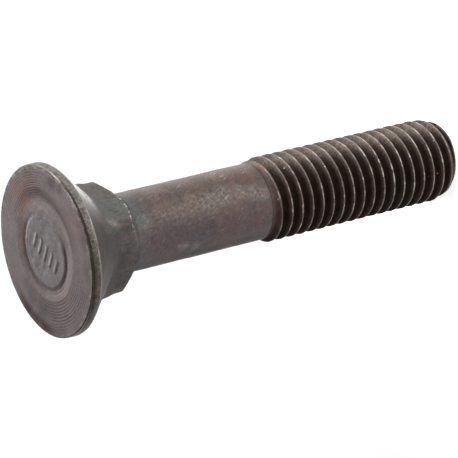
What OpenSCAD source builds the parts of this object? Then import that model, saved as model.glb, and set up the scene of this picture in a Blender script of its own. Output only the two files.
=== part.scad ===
// Flat countersunk bolt with a short square neck, M12 x 65.
// One forged and rolled piece of steel. Millimetres, +Z up.
// Origin: centre of the head face. The head face looks along +Z and the
// shank runs down along -Z, so the bolt stands on its flat thread end.

/* [Head] */
// Diameter of the head over its rim
head_d = 23.5; // [21:0.1:25]
// Diameter of the flat head face, inside the broken edge of the rim
face_d = 23.4; // [20:0.1:24.9]
// Depth of the broken edge between the face and the rim
lip_h = 0.4; // [0.1:0.05:0.8]
// Depth below the face at which the cylindrical rim ends and the cone starts
rim_h = 1.36; // [0.9:0.02:2.5]
// Included angle of the countersunk cone
cone_angle = 90; // [80:1:100]

/* [Square neck] */
// Width across the flats of the square neck
neck_af = 11.3; // [11.3:0.1:12.7]
// Width across the turned-off corners of the square neck
neck_corner_d = 15.2; // [14.4:0.1:15.8]
// Depth below the face at which the corners end and the bevel starts
neck_corner_h = 9.45; // [9:0.05:11]
// Half angle of the bevelled end of the neck, from the bolt's axis
neck_bevel = 52.5; // [40:0.5:65]
// Radius of the fillet between a flat and the cone
flat_fillet = 2.4; // [0.8:0.1:3]
// Radius of the fillet between a corner and the cone
corner_fillet = 4; // [1:0.5:5]

/* [Shank] */
// Diameter of the plain shank, near the pitch diameter of the rolled thread
shank_d = 10.76; // [10.6:0.02:10.9]
// Length of the bolt from the head face to the thread end
bolt_l = 65; // [50:1:90]

/* [Thread] */
// Major diameter of the thread, M12
thread_d = 11.9; // [11.7:0.01:11.97]
// Length of the thread with its run-out, from the thread end
thread_l = 32; // [25:0.5:38]
// Length of the run-out between the shank and the full thread
runout_l = 1.5; // [0.5:0.1:3.5]
// Diameter of the flat end face
end_d = 10.3; // [9:0.1:11]
// Length of the chamfer at the thread end
end_chamfer_l = 2.4; // [0.8:0.1:3]

/* [Face groove] */
// Outer diameter of the ring groove in the head face
groove_d = 14.2; // [12:0.1:16]
// Diameter at which the groove is deepest
groove_floor_d = 10.7; // [10.2:0.1:11.5]
// Depth of the groove
groove_h = 0.22; // [0.2:0.02:0.6]
// Diameter of the central disc inside the groove
disc_d = 9.9; // [8:0.1:10]
// Depth of the central disc below the head face
disc_h = 0.1; // [0.08:0.02:0.18]
// Offset of the groove and disc from the bolt's axis, along X
stamp_x = 0.05; // [-0.4:0.05:0.4]
// Offset of the groove and disc from the bolt's axis, along Y
stamp_y = 0.2; // [-0.4:0.05:0.4]

/* [Face bars] */
// Number of short raised bars on the central disc
bars = 5; // [1:1:5]
// Distance between the bars
bar_pitch = 1.4; // [1:0.05:1.5]
// Width of a bar
bar_w = 0.6; // [0.3:0.05:0.8]
// Length of a bar
bar_l = 2.6; // [1:0.1:3.6]
// Height of a bar above the disc
bar_h = 0.08; // [0.04:0.01:0.08]

/* [Hidden] */
$fn = 96;

steel = [0.36, 0.33, 0.32];

head_r = head_d / 2;
corner_r = neck_corner_d / 2;
shank_r = shank_d / 2;
thread_r = thread_d / 2;
// The cone, as depth below the face for a radius: depth = cone_depth(r).
slope = tan(cone_angle / 2);
function cone_depth(r) = rim_h + (head_r - r) / slope;
// The shank meets the cone under the square neck.
shank_top = cone_depth(shank_r);
thread_top = bolt_l - thread_l;

// Concave fillet from a wall at half-width h to the cone, as [half-width, z]
// points, ending with a straight run that goes on under the cone.
arc_steps = 3;
arc_end = 33;
function fillet(h, rad) =
    let (top = cone_depth(h) + rad * tan((90 - cone_angle / 2) / 2))
    [for (i = [0 : arc_steps])
        let (p = arc_end * i / arc_steps)
        [h + rad * (1 - cos(p)), -(top - rad * sin(p))]];
function run_on(pts) =
    let (a = pts[len(pts) - 2], b = pts[len(pts) - 1])
    [b[0] + (b[0] - a[0]) * 1.6, b[1] + (b[1] - a[1]) * 1.6];

// Rim, cone, shank and thread, turned round the axis.
module turned_body() {
    rotate_extrude()
        polygon([
            [0, 0],
            [face_d / 2, 0],
            [head_r, -lip_h],
            [head_r, -rim_h + 0.1],
            [head_r - 0.07, -rim_h - 0.03],
            [shank_r, -shank_top],
            [shank_r, -thread_top],
            [thread_r, -(thread_top + runout_l)],
            [thread_r, -(bolt_l - end_chamfer_l)],
            [end_d / 2, -bolt_l],
            [0, -bolt_l]
        ]);
}

// Side profile of the neck: two flats that flare into the cone.
module neck_slab() {
    side = fillet(neck_af / 2, flat_fillet);
    low = -(neck_corner_h + 4);
    // Above the fillet the slab stays just under the cone.
    deep = run_on(side);
    half = concat([[neck_af / 2, low]], side, [deep, [deep[0] + 3, deep[1] + 3 / slope]]);
    n = len(half);
    rotate([90, 0, 0])
        linear_extrude(height = 24, center = true)
            polygon(concat(half, [for (i = [n - 1 : -1 : 0]) [-half[i][0], half[i][1]]]));
}

// Square neck with turned corners, flared root and bevelled end.
module square_neck() {
    corner = fillet(corner_r, corner_fillet);
    last = run_on(corner);
    inner = shank_r - 0.3;
    bevel_l = (corner_r - inner) / tan(neck_bevel);
    intersection() {
        neck_slab();
        rotate([0, 0, 90]) neck_slab();
        rotate_extrude()
            polygon(concat(
                [[0, -(neck_corner_h + bevel_l)],
                 [inner, -(neck_corner_h + bevel_l)],
                 [corner_r, -neck_corner_h]],
                corner,
                [last, [0, last[1]]]));
    }
}

// Shallow ring groove with a central disc a little below the face.
module face_recess() {
    translate([stamp_x, stamp_y, 0])
        rotate_extrude()
            polygon([
                [0, 0.2],
                [groove_d / 2 + 0.2 * (groove_d - groove_floor_d) / 2 / groove_h, 0.2],
                [groove_floor_d / 2, -groove_h],
                [disc_d / 2, -disc_h],
                [0, -disc_h]
            ]);
}

// Short plain raised bars in a row across the disc.
module face_bars() {
    translate([-0.4 + stamp_x, -0.15 + stamp_y, 0])
        rotate([0, 0, -6])
            for (i = [0 : bars - 1])
                translate([0, (i - (bars - 1) / 2) * bar_pitch, -disc_h - 0.1 + (bar_h + 0.1) / 2])
                    cube([bar_l, bar_w, bar_h + 0.1], center = true);
}

module bolt() {
    color(steel)
        union() {
            difference() {
                union() {
                    turned_body();
                    square_neck();
                }
                face_recess();
            }
            face_bars();
        }
}

bolt();
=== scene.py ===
import math

import bpy
import numpy as np
from mathutils import Matrix, Vector


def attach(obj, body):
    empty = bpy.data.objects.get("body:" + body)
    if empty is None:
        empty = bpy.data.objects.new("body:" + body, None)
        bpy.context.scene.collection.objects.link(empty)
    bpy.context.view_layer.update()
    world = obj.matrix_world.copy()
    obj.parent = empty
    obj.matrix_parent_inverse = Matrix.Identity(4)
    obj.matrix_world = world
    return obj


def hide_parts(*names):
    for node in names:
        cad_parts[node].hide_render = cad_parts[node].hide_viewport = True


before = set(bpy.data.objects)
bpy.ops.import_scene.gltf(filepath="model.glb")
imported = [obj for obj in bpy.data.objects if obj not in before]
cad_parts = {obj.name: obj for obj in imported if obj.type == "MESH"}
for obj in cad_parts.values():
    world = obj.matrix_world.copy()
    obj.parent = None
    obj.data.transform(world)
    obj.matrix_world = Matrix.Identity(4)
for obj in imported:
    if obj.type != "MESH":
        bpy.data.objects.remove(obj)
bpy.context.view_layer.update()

MM = 0.001
SCENE = bpy.context.scene
RNG = np.random.default_rng(1217)

# --------------------------------------------------------------------------
# Sizes of the bolt, in millimetres. Depth w is measured down from the head
# face, so a point's height is z = -w.
# --------------------------------------------------------------------------
LENGTH = 65.0
HEAD_R = 11.75
RIM_H = 1.36
CONE_R0 = 13.07                   # radius of the cone carried up to the face
NECK_H = 5.65                     # half width across the flats
NECK_RC = 0.95                    # rounding of the neck's corners
CORNER_R = 7.6
CORNER_W = 9.45
BEVEL = 1.303                     # fall of radius along the bevelled neck end
SHANK_R = 5.38
THREAD_W = 31.75                  # where the thread starts
PITCH = 1.75
MAJOR_R = 5.93
ROOT_R = 4.93
CHAMFER_W, CHAMFER_R, END_R = 62.6, 5.95, 5.15
CREST_PHASE = -51.117             # height of a crest at azimuth 0
STAMP = np.array([-0.13, 0.14])   # centre of the stamped disc and of the ring round it
HOLLOW = np.array([0.18, 0.25])   # centre of the shallow hollow that they lie in
RING_PITCH = 0.37                 # feed of the turning marks on the face
COLS = 216

# --------------------------------------------------------------------------
# Camera: the photograph's view of the bolt.
# --------------------------------------------------------------------------
TILT = math.radians(58.19)        # between the view direction and the bolt's axis
ROLL = math.radians(13.875)       # rise of the axis across the picture
NECK_TURN = math.radians(48.0)    # azimuth of the neck's flats to the view
CAM_DIST = 368.04                 # mm along the view, to the head face's centre
PX_MM = 7.6223                    # picture pixels to a millimetre there
FACE_AT = (45.30, 251.64)         # head face's centre in the picture
HALF = 229.0


def view_axes():
    """Right, down and forward of the picture, in the bolt's own frame."""
    st, ct = math.sin(TILT), math.cos(TILT)
    sr, cr = math.sin(ROLL), math.cos(ROLL)
    a = Vector((st * cr, -st * sr, ct))
    e1 = Vector((sr, cr, 0.0))
    e2 = Vector((ct * cr, -ct * sr, -st))
    c, s = math.cos(NECK_TURN), math.sin(NECK_TURN)
    x, y, z = c * e2 - s * e1, -s * e2 - c * e1, -a
    to_view = Matrix((x, y, z)).transposed()
    back = to_view.transposed()
    return [back @ Vector(v) for v in ((1, 0, 0), (0, 1, 0), (0, 0, 1))]


RIGHT, DOWN, FORWARD = view_axes()


def towards(right, down, forward):
    """A unit direction given in the picture's own axes."""
    v = RIGHT * right + DOWN * down + FORWARD * forward
    return v.normalized()


def add_camera():
    cam = bpy.data.cameras.new("Camera")
    ob = bpy.data.objects.new("Camera", cam)
    SCENE.collection.objects.link(ob)
    rot = Matrix((RIGHT, -DOWN, -FORWARD)).transposed()
    place = -(RIGHT * ((FACE_AT[0] - HALF) / PX_MM)
              + DOWN * ((FACE_AT[1] - HALF) / PX_MM)
              + FORWARD * CAM_DIST) * MM
    ob.matrix_world = Matrix.Translation(place) @ rot.to_4x4()
    cam.sensor_width = 36.0
    cam.lens = PX_MM * CAM_DIST / (2 * HALF) * 36.0
    cam.clip_start = 0.01
    cam.clip_end = 20.0
    SCENE.camera = ob
    return ob


camera = add_camera()


# --------------------------------------------------------------------------
# Small helpers for shapes and noise.
# --------------------------------------------------------------------------
def smoothstep(a, b, x):
    t = np.clip((np.asarray(x, float) - a) / (b - a), 0.0, 1.0)
    return t * t * (3 - 2 * t)


def soft_max(a, b, k):
    return 0.5 * (a + b + np.sqrt((a - b) ** 2 + k * k))


class Waves:
    """Smooth seeded noise: a sum of plane waves with wavelengths about size."""

    def __init__(self, size, count=24, spread=1.7):
        d = RNG.normal(size=(count, 3))
        d /= np.linalg.norm(d, axis=1)[:, None]
        wl = size * np.exp(RNG.uniform(-math.log(spread), math.log(spread), count))
        self.k = d * (2 * math.pi / wl)[:, None]
        self.p = RNG.uniform(0, 2 * math.pi, count)
        self.n = math.sqrt(2.0 / count)

    def __call__(self, p):
        return np.cos(p @ self.k.T + self.p).sum(-1) * self.n


PHI = np.arange(COLS) * (2 * math.pi / COLS)
CPHI, SPHI = np.cos(PHI), np.sin(PHI)


def square_radius(phi, h, rc):
    """Radius of a square with rounded corners at azimuth phi."""
    b = np.abs((phi + math.pi / 4) % (math.pi / 2) - math.pi / 4)
    flat = h / np.cos(b)
    c = h - rc
    t = c * (np.cos(b) + np.sin(b))
    d = t * t - (2 * c * c - rc * rc)
    arc = t + np.sqrt(np.maximum(d, 0))
    return np.where(flat * np.sin(b) > c, arc, flat)


# --------------------------------------------------------------------------
# The surface, built as rings of COLS vertices from the middle of the head
# face, out over the rim, down the neck and shank, along the thread's own
# helix, and in over the thread end.
# --------------------------------------------------------------------------
verts, faces = [], []
wear_v, cav_v, zone_v = [], [], []


def add_ring(x, y, w, wear=0.0, cav=0.0, zone=0.0):
    """Adds one ring of vertices and returns their numbers."""
    start = len(verts)
    x, y, w = (np.broadcast_to(np.asarray(v, float), (COLS,)) for v in (x, y, w))
    verts.extend(zip(x.tolist(), y.tolist(), (-w).tolist()))
    for store, v in ((wear_v, wear), (cav_v, cav), (zone_v, zone)):
        store.extend(np.broadcast_to(np.asarray(v, float), (COLS,)).tolist())
    return np.arange(start, start + COLS)


def join(upper, lower):
    """Quads between two rings; the lower one is further along the path."""
    nxt = np.roll(np.arange(COLS), -1)
    for j in range(COLS):
        faces.append((upper[j], lower[j], lower[nxt[j]], upper[nxt[j]]))


wave_big = Waves(9.0)
wave_mid = Waves(2.6)
wave_fine = Waves(0.9, 36)


# --- head face ---
def view_angle(x, y):
    """Angle round the face in degrees: 0 at azimuth -48, growing clockwise."""
    return (-48.0 - np.degrees(np.arctan2(y, x)) + 180.0) % 360.0 - 180.0


def round_table(angle, *rows):
    """Smooth value round the face from (angle, value) rows between -180 and 180."""
    xs = np.array([r[0] for r in rows], float)
    ys = np.array([r[1] for r in rows], float)
    xs = np.concatenate([xs - 360, xs, xs + 360])
    ys = np.tile(ys, 3)
    out = 0
    for k, w in ((-9, 0.25), (0, 0.5), (9, 0.25)):
        out = out + w * np.interp(angle + k, xs, ys)
    return out


def stamp_strength(angle):
    """How deep the ring round the disc was stamped: the die struck unevenly."""
    return round_table(angle, (-170, 0.85), (-145, 0.85), (-120, 0.60), (-95, 0.35), (-75, 0.15), (-35, 0.08),
                       (-12, 0.40), (5, 0.90), (30, 1.0), (52, 0.95), (78, 0.60), (105, 0.50), (130, 0.55), (155, 0.75))


def groove_depth(rho, angle):
    """Depth of the disc, the ring round it and the hollow, which differ round the face."""
    deep, edge, high = stamp_strength(angle), edge_strength(angle), high_strength(angle)
    disc_r, disc_d = [0.0, 3.3, 4.0, 4.62, 4.74], [0.118, 0.118, 0.098, 0.072, 0.074]
    r = disc_r + [4.84, 4.94, 5.06, 5.20, 5.34, 5.46, 5.58, 5.72, 6.30, 6.66, 6.84, 6.98, 7.12, 7.34, 99]
    d = disc_d + [0.088, 0.126, 0.176, 0.210, 0.220, 0.210, 0.184, 0.160, 0.088, 0.046, 0.026, 0.014, 0.005, 0.0, 0.0]
    e = disc_d + [0.082, 0.090, 0.100, 0.106, 0.110, 0.112, 0.112, 0.110, 0.084, 0.056, 0.038, 0.022, 0.009, 0.0, 0.0]
    gentle = np.interp(rho, r, e)
    side = gentle + deep * (np.interp(rho, r, d) - gentle)
    # where the hollow's edge is faint, it runs out slowly instead
    slow = np.interp(rho, [5.3, 5.72, 6.1, 6.5, 6.9, 7.3, 7.6], [9.0, 0.150, 0.100, 0.060, 0.030, 0.008, 0.0])
    side = edge * side + (1 - edge) * np.minimum(side, slow)
    # on one side the hollow is a wide trough that falls away from the disc
    r = disc_r + [4.94, 5.20, 5.40, 5.58, 5.72, 6.30, 6.66, 6.84, 6.98, 7.12, 7.34, 7.8, 8.2, 8.5, 8.7, 99]
    t = disc_d + [0.068, 0.060, 0.058, 0.064, 0.076, 0.156, 0.200, 0.212, 0.212, 0.205, 0.182, 0.108, 0.044, 0.010, 0.0, 0.0]
    shift = round_table(angle, (-95, 0.0), (-72, 0.10), (-45, 0.34), (-15, 0.36), (20, 0.3), (60, 0.0))
    depth = side + high * (np.interp(rho + shift * smoothstep(5.6, 6.6, rho), r, t) - side)
    # a second, faint ring below
    return depth + 0.035 * np.exp(-((rho - 5.86) / 0.15) ** 2) * second_ring(angle)


def second_ring(angle):
    return round_table(angle, (48, 0.0), (66, 0.9), (92, 1.0), (108, 0.5), (125, 0.0))


def high_strength(angle):
    return round_table(angle, (-140, 0.0), (-115, 0.35), (-92, 0.85), (-60, 1.0), (-38, 0.95), (-20, 0.72), (-5, 0.36), (15, 0.12), (35, 0.0))


def edge_strength(angle):
    return round_table(angle, (-170, 0.10), (-130, 0.20), (-105, 0.65), (-60, 1.0), (-20, 0.75), (10, 0.85),
                       (40, 1.0), (75, 0.85), (105, 0.5), (135, 0.2), (165, 0.10))


# Raised bars on the disc: centre, half length, half width and height of each.
BARS = []
for i in range(5):
    across = (i - 2) * 1.4
    BARS.append((across, 1.35 - 0.12 * abs(i - 2), 0.30, 0.080))
BAR_TURN = math.radians(-6.0)
BAR_AT = STAMP + np.array([-0.20, -0.10])


def bar_height(x, y):
    c, s = math.cos(BAR_TURN), math.sin(BAR_TURN)
    u = (x - BAR_AT[0]) * c + (y - BAR_AT[1]) * s
    v = -(x - BAR_AT[0]) * s + (y - BAR_AT[1]) * c
    h = np.zeros_like(u)
    for across, hl, hw, top in BARS:
        du = np.maximum(np.abs(u) - (hl - hw), 0)
        d = np.sqrt(du * du + (v - across) ** 2)
        h = np.maximum(h, top * (1 - smoothstep(hw * 0.35, hw * 1.35, d)))
    return h


def edge_worn(angle):
    """How worn the edge of the face is, round the head."""
    return round_table(angle, (-180, 0.9), (-120, 0.9), (-95, 1.4), (-72, 1.9), (-35, 1.7), (-12, 1.3), (10, 1.2), (35, 0.9), (60, 0.9), (110, 0.4), (145, 0.3), (160, 0.8))


def face_rows():
    rows = list(np.arange(0.15, 4.55, 0.147))
    rows += [4.62, 4.68, 4.74, 4.79, 4.84, 4.90, 4.96, 5.03, 5.12, 5.20, 5.28, 5.36, 5.44, 5.52, 5.60, 5.70]
    rows += [5.85, 6.0, 6.15, 6.3, 6.45, 6.58]
    rows += list(np.arange(6.70, 11.38, RING_PITCH / 5))
    rows += [11.42, 11.48]
    return rows


def turning(p, rho, angle):
    """Depth and shape (0 to 2) of the turning marks, which fade in and out round the face."""
    on = smoothstep(6.9, 7.3, rho) * (1 - smoothstep(11.2, 11.45, rho))
    low = round_table(angle, (20, 0.0), (50, 0.55), (68, 1.0), (105, 1.0), (125, 0.3), (145, 0.0)) * (1 - 0.75 * smoothstep(9.6, 10.8, rho))
    high = round_table(angle, (-145, 0.0), (-125, 0.8), (-88, 1.0), (-70, 0.4), (-52, 0.0)) * smoothstep(7.0, 8.0, rho)
    lit = 0.16 + 0.84 * np.maximum(low, 0.95 * high)
    amp = 0.0160 * on * lit * (0.85 + 0.25 * np.tanh(wave_mid(p * 0.35)))
    return amp, 1 - np.cos(2 * math.pi * (rho - 7.09) / RING_PITCH + 0.35 * wave_big(p))


def face_depth(x, y, rho):
    """Depth below the face's highest level, for points of the ring rho."""
    p = np.stack([x, y, np.zeros_like(x)], -1)
    angle = view_angle(x, y)
    d = groove_depth(rho, angle) - bar_height(x, y)
    amp, turn = turning(p, rho, angle)
    d = d + amp * turn
    # the disc keeps its forged skin; the rest is turned flat with a faint sway
    forged = 1 - smoothstep(4.8, 6.4, rho)
    d = d + forged * (0.016 * np.tanh(wave_mid(p * 1.1)) + 0.007 * np.tanh(wave_fine(p)))
    # low steps round the disc, left by the die
    steps = np.exp(-((rho - 4.40) / 0.07) ** 2) + 0.8 * np.exp(-((rho - 6.05) / 0.10) ** 2)
    d = d + 0.014 * steps * (0.5 + 0.5 * np.tanh(2 * wave_big(p * 1.3)))
    d = d + 0.010 * (1 + np.tanh(wave_big(p * 0.8)))
    return d


hub = len(verts)
x0, y0 = STAMP
d0 = float(face_depth(np.array([x0]), np.array([y0]), np.array([0.0]))[0])
verts.append((x0, y0, -d0))
wear_v.append(0.0); cav_v.append(0.0); zone_v.append(0.0)
prev = None
for rho in face_rows():
    # rings go over from the disc's centre to the hollow's, and then to the bolt's
    to_hollow = float(smoothstep(5.5, 6.9, rho))
    to_axis = float(smoothstep(7.1, 10.5, rho))
    centre = (STAMP * (1 - to_hollow) + HOLLOW * to_hollow) * (1 - to_axis)
    x = rho * CPHI + centre[0]
    y = rho * SPHI + centre[1]
    full_rho = np.full(COLS, rho)
    d = face_depth(x, y, full_rho)
    p = np.stack([x, y, np.zeros_like(x)], -1)
    angle = view_angle(x, y)
    deep = stamp_strength(angle) * (1 - high_strength(angle))
    amp, turn = turning(p, full_rho, angle)
    left = round_table(angle, (-150, 1.0), (-115, 0.3), (-90, 0.0), (100, 0.0), (125, 0.5), (150, 1.0), (180, 1.0))
    ring_dirt_and_shade = round_table(angle, (-60, 0.0), (-30, 0.20), (-12, 1.0), (4, 1.4), (25, 1.0), (45, 0.8), (70, 0.5), (95, 0.42), (120, 0.35), (140, 0.0))
    # the troughs of the turning marks are darkened with their depth, most where the light picks them out: painted shade
    cav = 0.60 * math.exp(-((rho - 5.28) / 0.25) ** 2) * deep ** 1.3 + 20.0 * amp * turn
    # dirt in the ring round the disc, darkest where its wall faces away from the light: partly painted shade
    cav = cav + 0.34 * math.exp(-((rho - 5.02) / 0.42) ** 2) * ring_dirt_and_shade
    outer_dirt = round_table(angle, (0, 0.0), (22, 0.5), (40, 1.0), (65, 1.0), (90, 0.8), (120, 0.35), (140, 0.0))
    cav = cav + 0.35 * math.exp(-((rho - 6.35) / 0.60) ** 2) * outer_dirt
    cav = np.maximum(cav, 0.56 * math.exp(-((rho - 5.50) / 0.46) ** 2) * left)
    cav = np.maximum(cav, 0.34 * math.exp(-((rho - 5.86) / 0.17) ** 2) * second_ring(angle))
    # a dark band on the hollow's outer slope where it faces away from the light: painted shade
    shade_band = round_table(angle, (-130, 0.0), (-110, 0.15), (-85, 0.22), (-60, 0.8), (-38, 1.0), (-12, 0.9), (5, 0.6), (20, 0.3), (40, 0.12), (60, 0.0))
    cav = cav + 0.58 * math.exp(-((rho - 7.15) / (0.50 if rho < 7.15 else 1.10)) ** 2) * shade_band
    cav = cav + 0.40 * math.exp(-((rho - 4.42) / 0.09) ** 2) * (1 - deep) * (0.8 + 0.3 * np.tanh(wave_mid(p * 0.9)))
    lip_dirt = round_table(angle, (-180, 0.8), (-145, 0.7), (-120, 1.0), (-100, 0.4), (-82, 0.0), (105, 0.0), (130, 0.4), (160, 0.7))
    cav = cav + 0.34 * math.exp(-((rho - 4.80) / 0.13) ** 2) * lip_dirt
    bars = bar_height(x, y) / 0.080
    # the sides of the raised bars are darkened: painted shade
    cav = cav + 2.3 * bars * (1 - bars)
    edge_dirt = round_table(angle, (84, 0.0), (102, 0.55), (116, 1.0), (146, 1.0), (158, 0.5), (168, 0.0))
    cav = cav + 0.74 * float(smoothstep(9.5, 10.8, rho)) * edge_dirt * (0.80 + 0.24 * np.tanh(wave_mid(p * 0.8)))
    # the tops of the bars are lightened by the last term: painted highlight
    wear = 0.12 * math.exp(-((rho - 4.78) / 0.09) ** 2) * deep * (1 - 0.9 * left) + bars ** 2 * 0.20
    # a bright band on the disc's edge on its left side: painted highlight
    wear = wear + 0.52 * math.exp(-((rho - 4.34) / 0.25) ** 2) * left
    wear = wear + 0.44 * float(smoothstep(10.8, 11.45, rho)) * edge_worn(angle) * np.clip(0.15 + 1.1 * wave_mid(p * 2.2), 0, 1.5) * (1 - 0.8 * np.clip(edge_dirt, 0, 1))
    # a bright line on the hollow's outer edge low on the face, where it faces the light: painted highlight
    low_edge_highlight = round_table(angle, (84, 0.0), (102, 0.8), (128, 1.0), (150, 0.9), (166, 0.4), (178, 0.0))
    wear = wear + 0.42 * math.exp(-((rho - 6.62) / 0.13) ** 2) * low_edge_highlight * np.clip(0.5 + 0.8 * wave_mid(p * 1.4), 0, 1.2)
    # a bright band on the hollow's slope where it faces the light: painted highlight
    lit_slope_highlight = round_table(angle, (-75, 0.0), (-55, 0.3), (-38, 1.0), (-20, 0.7), (-5, 0.25), (8, 0.0))
    wear = wear + 0.55 * math.exp(-((rho - 6.20) / 0.38) ** 2) * lit_slope_highlight
    ring = add_ring(x, y, d, wear=wear, cav=cav, zone=0.0)
    if prev is None:
        for j in range(COLS):
            faces.append((hub, ring[j], ring[(j + 1) % COLS]))
    else:
        join(prev, ring)
    prev = ring

# --- rim: broken edge, turned land and rear edge ---
az = np.stack([CPHI, SPHI, np.zeros(COLS)], -1)
nick = 0.02 * np.maximum(0, wave_mid(az * 40) - 0.9) + 0.012 * np.maximum(0, wave_fine(az * 30) - 1.1)
round_angle = view_angle(CPHI, SPHI)
edge_wear = edge_worn(round_angle) * (0.72 + 0.55 * np.tanh(1.4 * wave_mid(az * 20)))
# the land is bare and sandy on one side and dark with oxide on the other
land_bare = round_table(round_angle, (-180, 0.3), (-110, 0.6), (-88, 1.0), (-56, 1.0), (-44, 0.6), (-33, 0.0), (100, 0.0), (150, 0.3))
land_dirt = round_table(round_angle, (-30, 0.0), (-12, 0.2), (5, 0.7), (20, 0.9), (50, 0.5), (75, 0.1), (95, 0.0))
rear_wear = round_table(round_angle, (-180, 0.8), (-95, 0.5), (-60, 0.25), (-32, 0.35), (-18, 1.1), (6, 1.1), (17, 0.4), (32, 0.12), (60, 0.12), (110, 0.5), (150, 0.8))
rear_wear = rear_wear * (0.75 + 0.55 * np.tanh(1.5 * wave_mid(az * 18)))
rim = [
    # radius, depth, wear
    (11.54, 0.002, 0.2), (11.60, 0.004, 0.4), (11.65, 0.025, 0.45), (11.685, 0.070, 0.25),
    (11.695, 0.11, 0.0), (11.675, 0.20, 0.0), (11.655, 0.31, 0.0), (11.655, 0.42, 0.0), (11.68, 0.52, 0.0),
    (11.71, 0.62, 0.0), (11.73, 0.74, 0.0), (11.738, 0.88, 0.05), (11.738, 1.04, 0.10), (11.735, 1.18, 0.15), (11.73, 1.28, 0.55),
    (11.70, 1.36, 0.9), (11.64, 1.43, 0.6), (11.55, 1.52, 0.2), (11.44, 1.63, 0.0),
]
for r, w, wr in rim:
    k = 1.0 if wr > 0.3 else 0.3
    worn = wr * (edge_wear if w < 0.1 else rear_wear)
    wob = 0.012 * wave_big(az * 14 + w)
    rr = r - nick * k - np.maximum(wob, 0) * 0.8
    ring = add_ring(rr * CPHI, rr * SPHI, w + (0.015 * wave_mid(az * 30) if 0 < wr < 0.7 and w > 1 else 0.0),
                    wear=worn, cav=0.30 * land_dirt * (1 - smoothstep(0.60, 1.0, w)) * smoothstep(0.05, 0.2, w),
                    zone=0.2 + 0.1 * land_bare if w < 0.50 else 0.3)
    join(prev, ring)
    prev = ring

# --- cone and square neck ---
NECK = square_radius(PHI, NECK_H, NECK_RC)
NECK = np.minimum(NECK, CORNER_R)
CREASE_W = CORNER_W + (CORNER_R - NECK) / BEVEL
corner_ness = smoothstep(6.9, 7.5, NECK)


def flare(w):
    """Size of the fillet between cone and neck: small on the flats, larger at the corners."""
    return (0.42 + 0.88 * smoothstep(5.8, 7.0, NECK)) * (1 - smoothstep(7.2, 9.3, w)) + 0.02


def neck_point(w):
    return soft_max(CONE_R0 - w, NECK, flare(w))


# a painted glare on the cone behind the rim: wear values above one turn its colour near white
cone_glare = round_table(round_angle, (-180, 0.15), (-120, 0.25), (-80, 0.5), (-64, 1.7), (-52, 2.3), (-40, 2.0), (-30, 0.9), (-22, 0.15), (-12, 0.0), (100, 0.0), (140, 0.3))
# the fillet between cone and neck is darkened where it would catch the light: painted shade
fillet_shade = round_table(round_angle, (-62, 0.0), (-46, 0.1), (-36, 0.30), (-26, 0.75), (-12, 0.84), (8, 0.78), (22, 0.68), (42, 0.48), (65, 0.25), (90, 0.08), (120, 0.0), (160, 0.4), (-170, 0.4), (-150, 0.0))
cone_rows = [1.75, 2.0, 2.3, 2.6, 2.95, 3.3, 3.65, 4.0, 4.3, 4.6, 4.9, 5.2, 5.5, 5.8, 6.1, 6.4, 6.7, 7.0, 7.3, 7.6, 7.9, 8.2, 8.5]
for w in cone_rows:
    base = soft_max(CONE_R0 - w, np.zeros(COLS), 0.01) if w < 3.2 else neck_point(w)
    if w < 3.2:
        t = smoothstep(1.6, 3.2, w)
        base = (1 - t) * (CONE_R0 - w) + t * neck_point(w)
    p = az * base[:, None] + np.array([0, 0, -w])
    skin = 0.016 * wave_mid(p * 1.3) + 0.008 * wave_fine(p * 1.2)
    rr = base + skin * (1 - 0.3 * corner_ness) - 0.01
    edge = 0.12 * corner_ness * smoothstep(6.5, 8.5, w)
    edge = edge + 0.95 * cone_glare * smoothstep(1.4, 1.8, w) * (1 - smoothstep(4.3, 6.0, w)) * (1 + 0.12 * np.tanh(wave_mid(p * 1.1)))
    dirt = fillet_shade * smoothstep(1.6, 3.4, w) * (1 - smoothstep(6.4, 8.4, w))
    ring = add_ring(rr * CPHI, rr * SPHI, w, wear=edge, cav=dirt, zone=0.5)
    join(prev, ring)
    prev = ring

# wear along the neck's end, raised well past real wear on the side towards the light: partly painted highlight
neck_wear_and_glint = round_table(round_angle, (-180, 0.7), (-120, 0.6), (-70, 0.8), (-48, 1.4), (-20, 2.6), (-8, 2.6), (2, 0.7), (10, 0.06), (90, 0.1), (120, 0.5))
neck_wear_and_glint = neck_wear_and_glint * (0.62 + 0.85 * np.tanh(1.5 * wave_mid(az * 40)))
for t in (0.25, 0.5, 0.72, 0.88, 0.96):
    w = 8.5 + t * (CREASE_W - 8.5)
    base = soft_max(CONE_R0 - w, NECK, flare(w))
    p = az * base[:, None] - np.stack([np.zeros(COLS), np.zeros(COLS), w], -1)
    rr = base + 0.014 * wave_mid(p * 1.3) + 0.006 * wave_fine(p * 1.2) - 0.01
    ring = add_ring(rr * CPHI, rr * SPHI, w, wear=np.maximum(0.12 * corner_ness, smoothstep(0.94, 0.97, t) * 0.65 * neck_wear_and_glint), zone=0.5)
    join(prev, ring)
    prev = ring
# the worn edge where the flats and corners end, brightened further into a painted highlight, then the bevel to the
# shank, darkened just past the edge and at its foot with painted shadow
lip = 0.02 * np.maximum(0, wave_fine(az * 40))
rr = NECK - 0.035 - lip
prev_ring = add_ring(rr * CPHI, rr * SPHI, CREASE_W + 0.005, wear=neck_wear_and_glint, zone=0.5)
join(prev, prev_ring); prev = prev_ring
W_END = CORNER_W + (CORNER_R - SHANK_R) / BEVEL
for t in (0.06, 0.3, 0.6, 0.85, 0.97):
    r = NECK + (SHANK_R - NECK) * t
    w = CREASE_W + (W_END - CREASE_W) * t
    p = az * r[:, None] - np.stack([np.zeros(COLS), np.zeros(COLS), w], -1)
    rr = r + 0.008 * wave_mid(p * 1.5) * math.sin(math.pi * t)
    ring = add_ring(rr * CPHI, rr * SPHI, w + 0.01, wear=0.25 * (1 - t) ** 3 * neck_wear_and_glint, cav=0.4 * math.exp(-((t - 0.10) / 0.10) ** 2) + 0.30 * smoothstep(0.5, 0.95, t), zone=0.6)
    join(prev, ring)
    prev = ring

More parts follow.
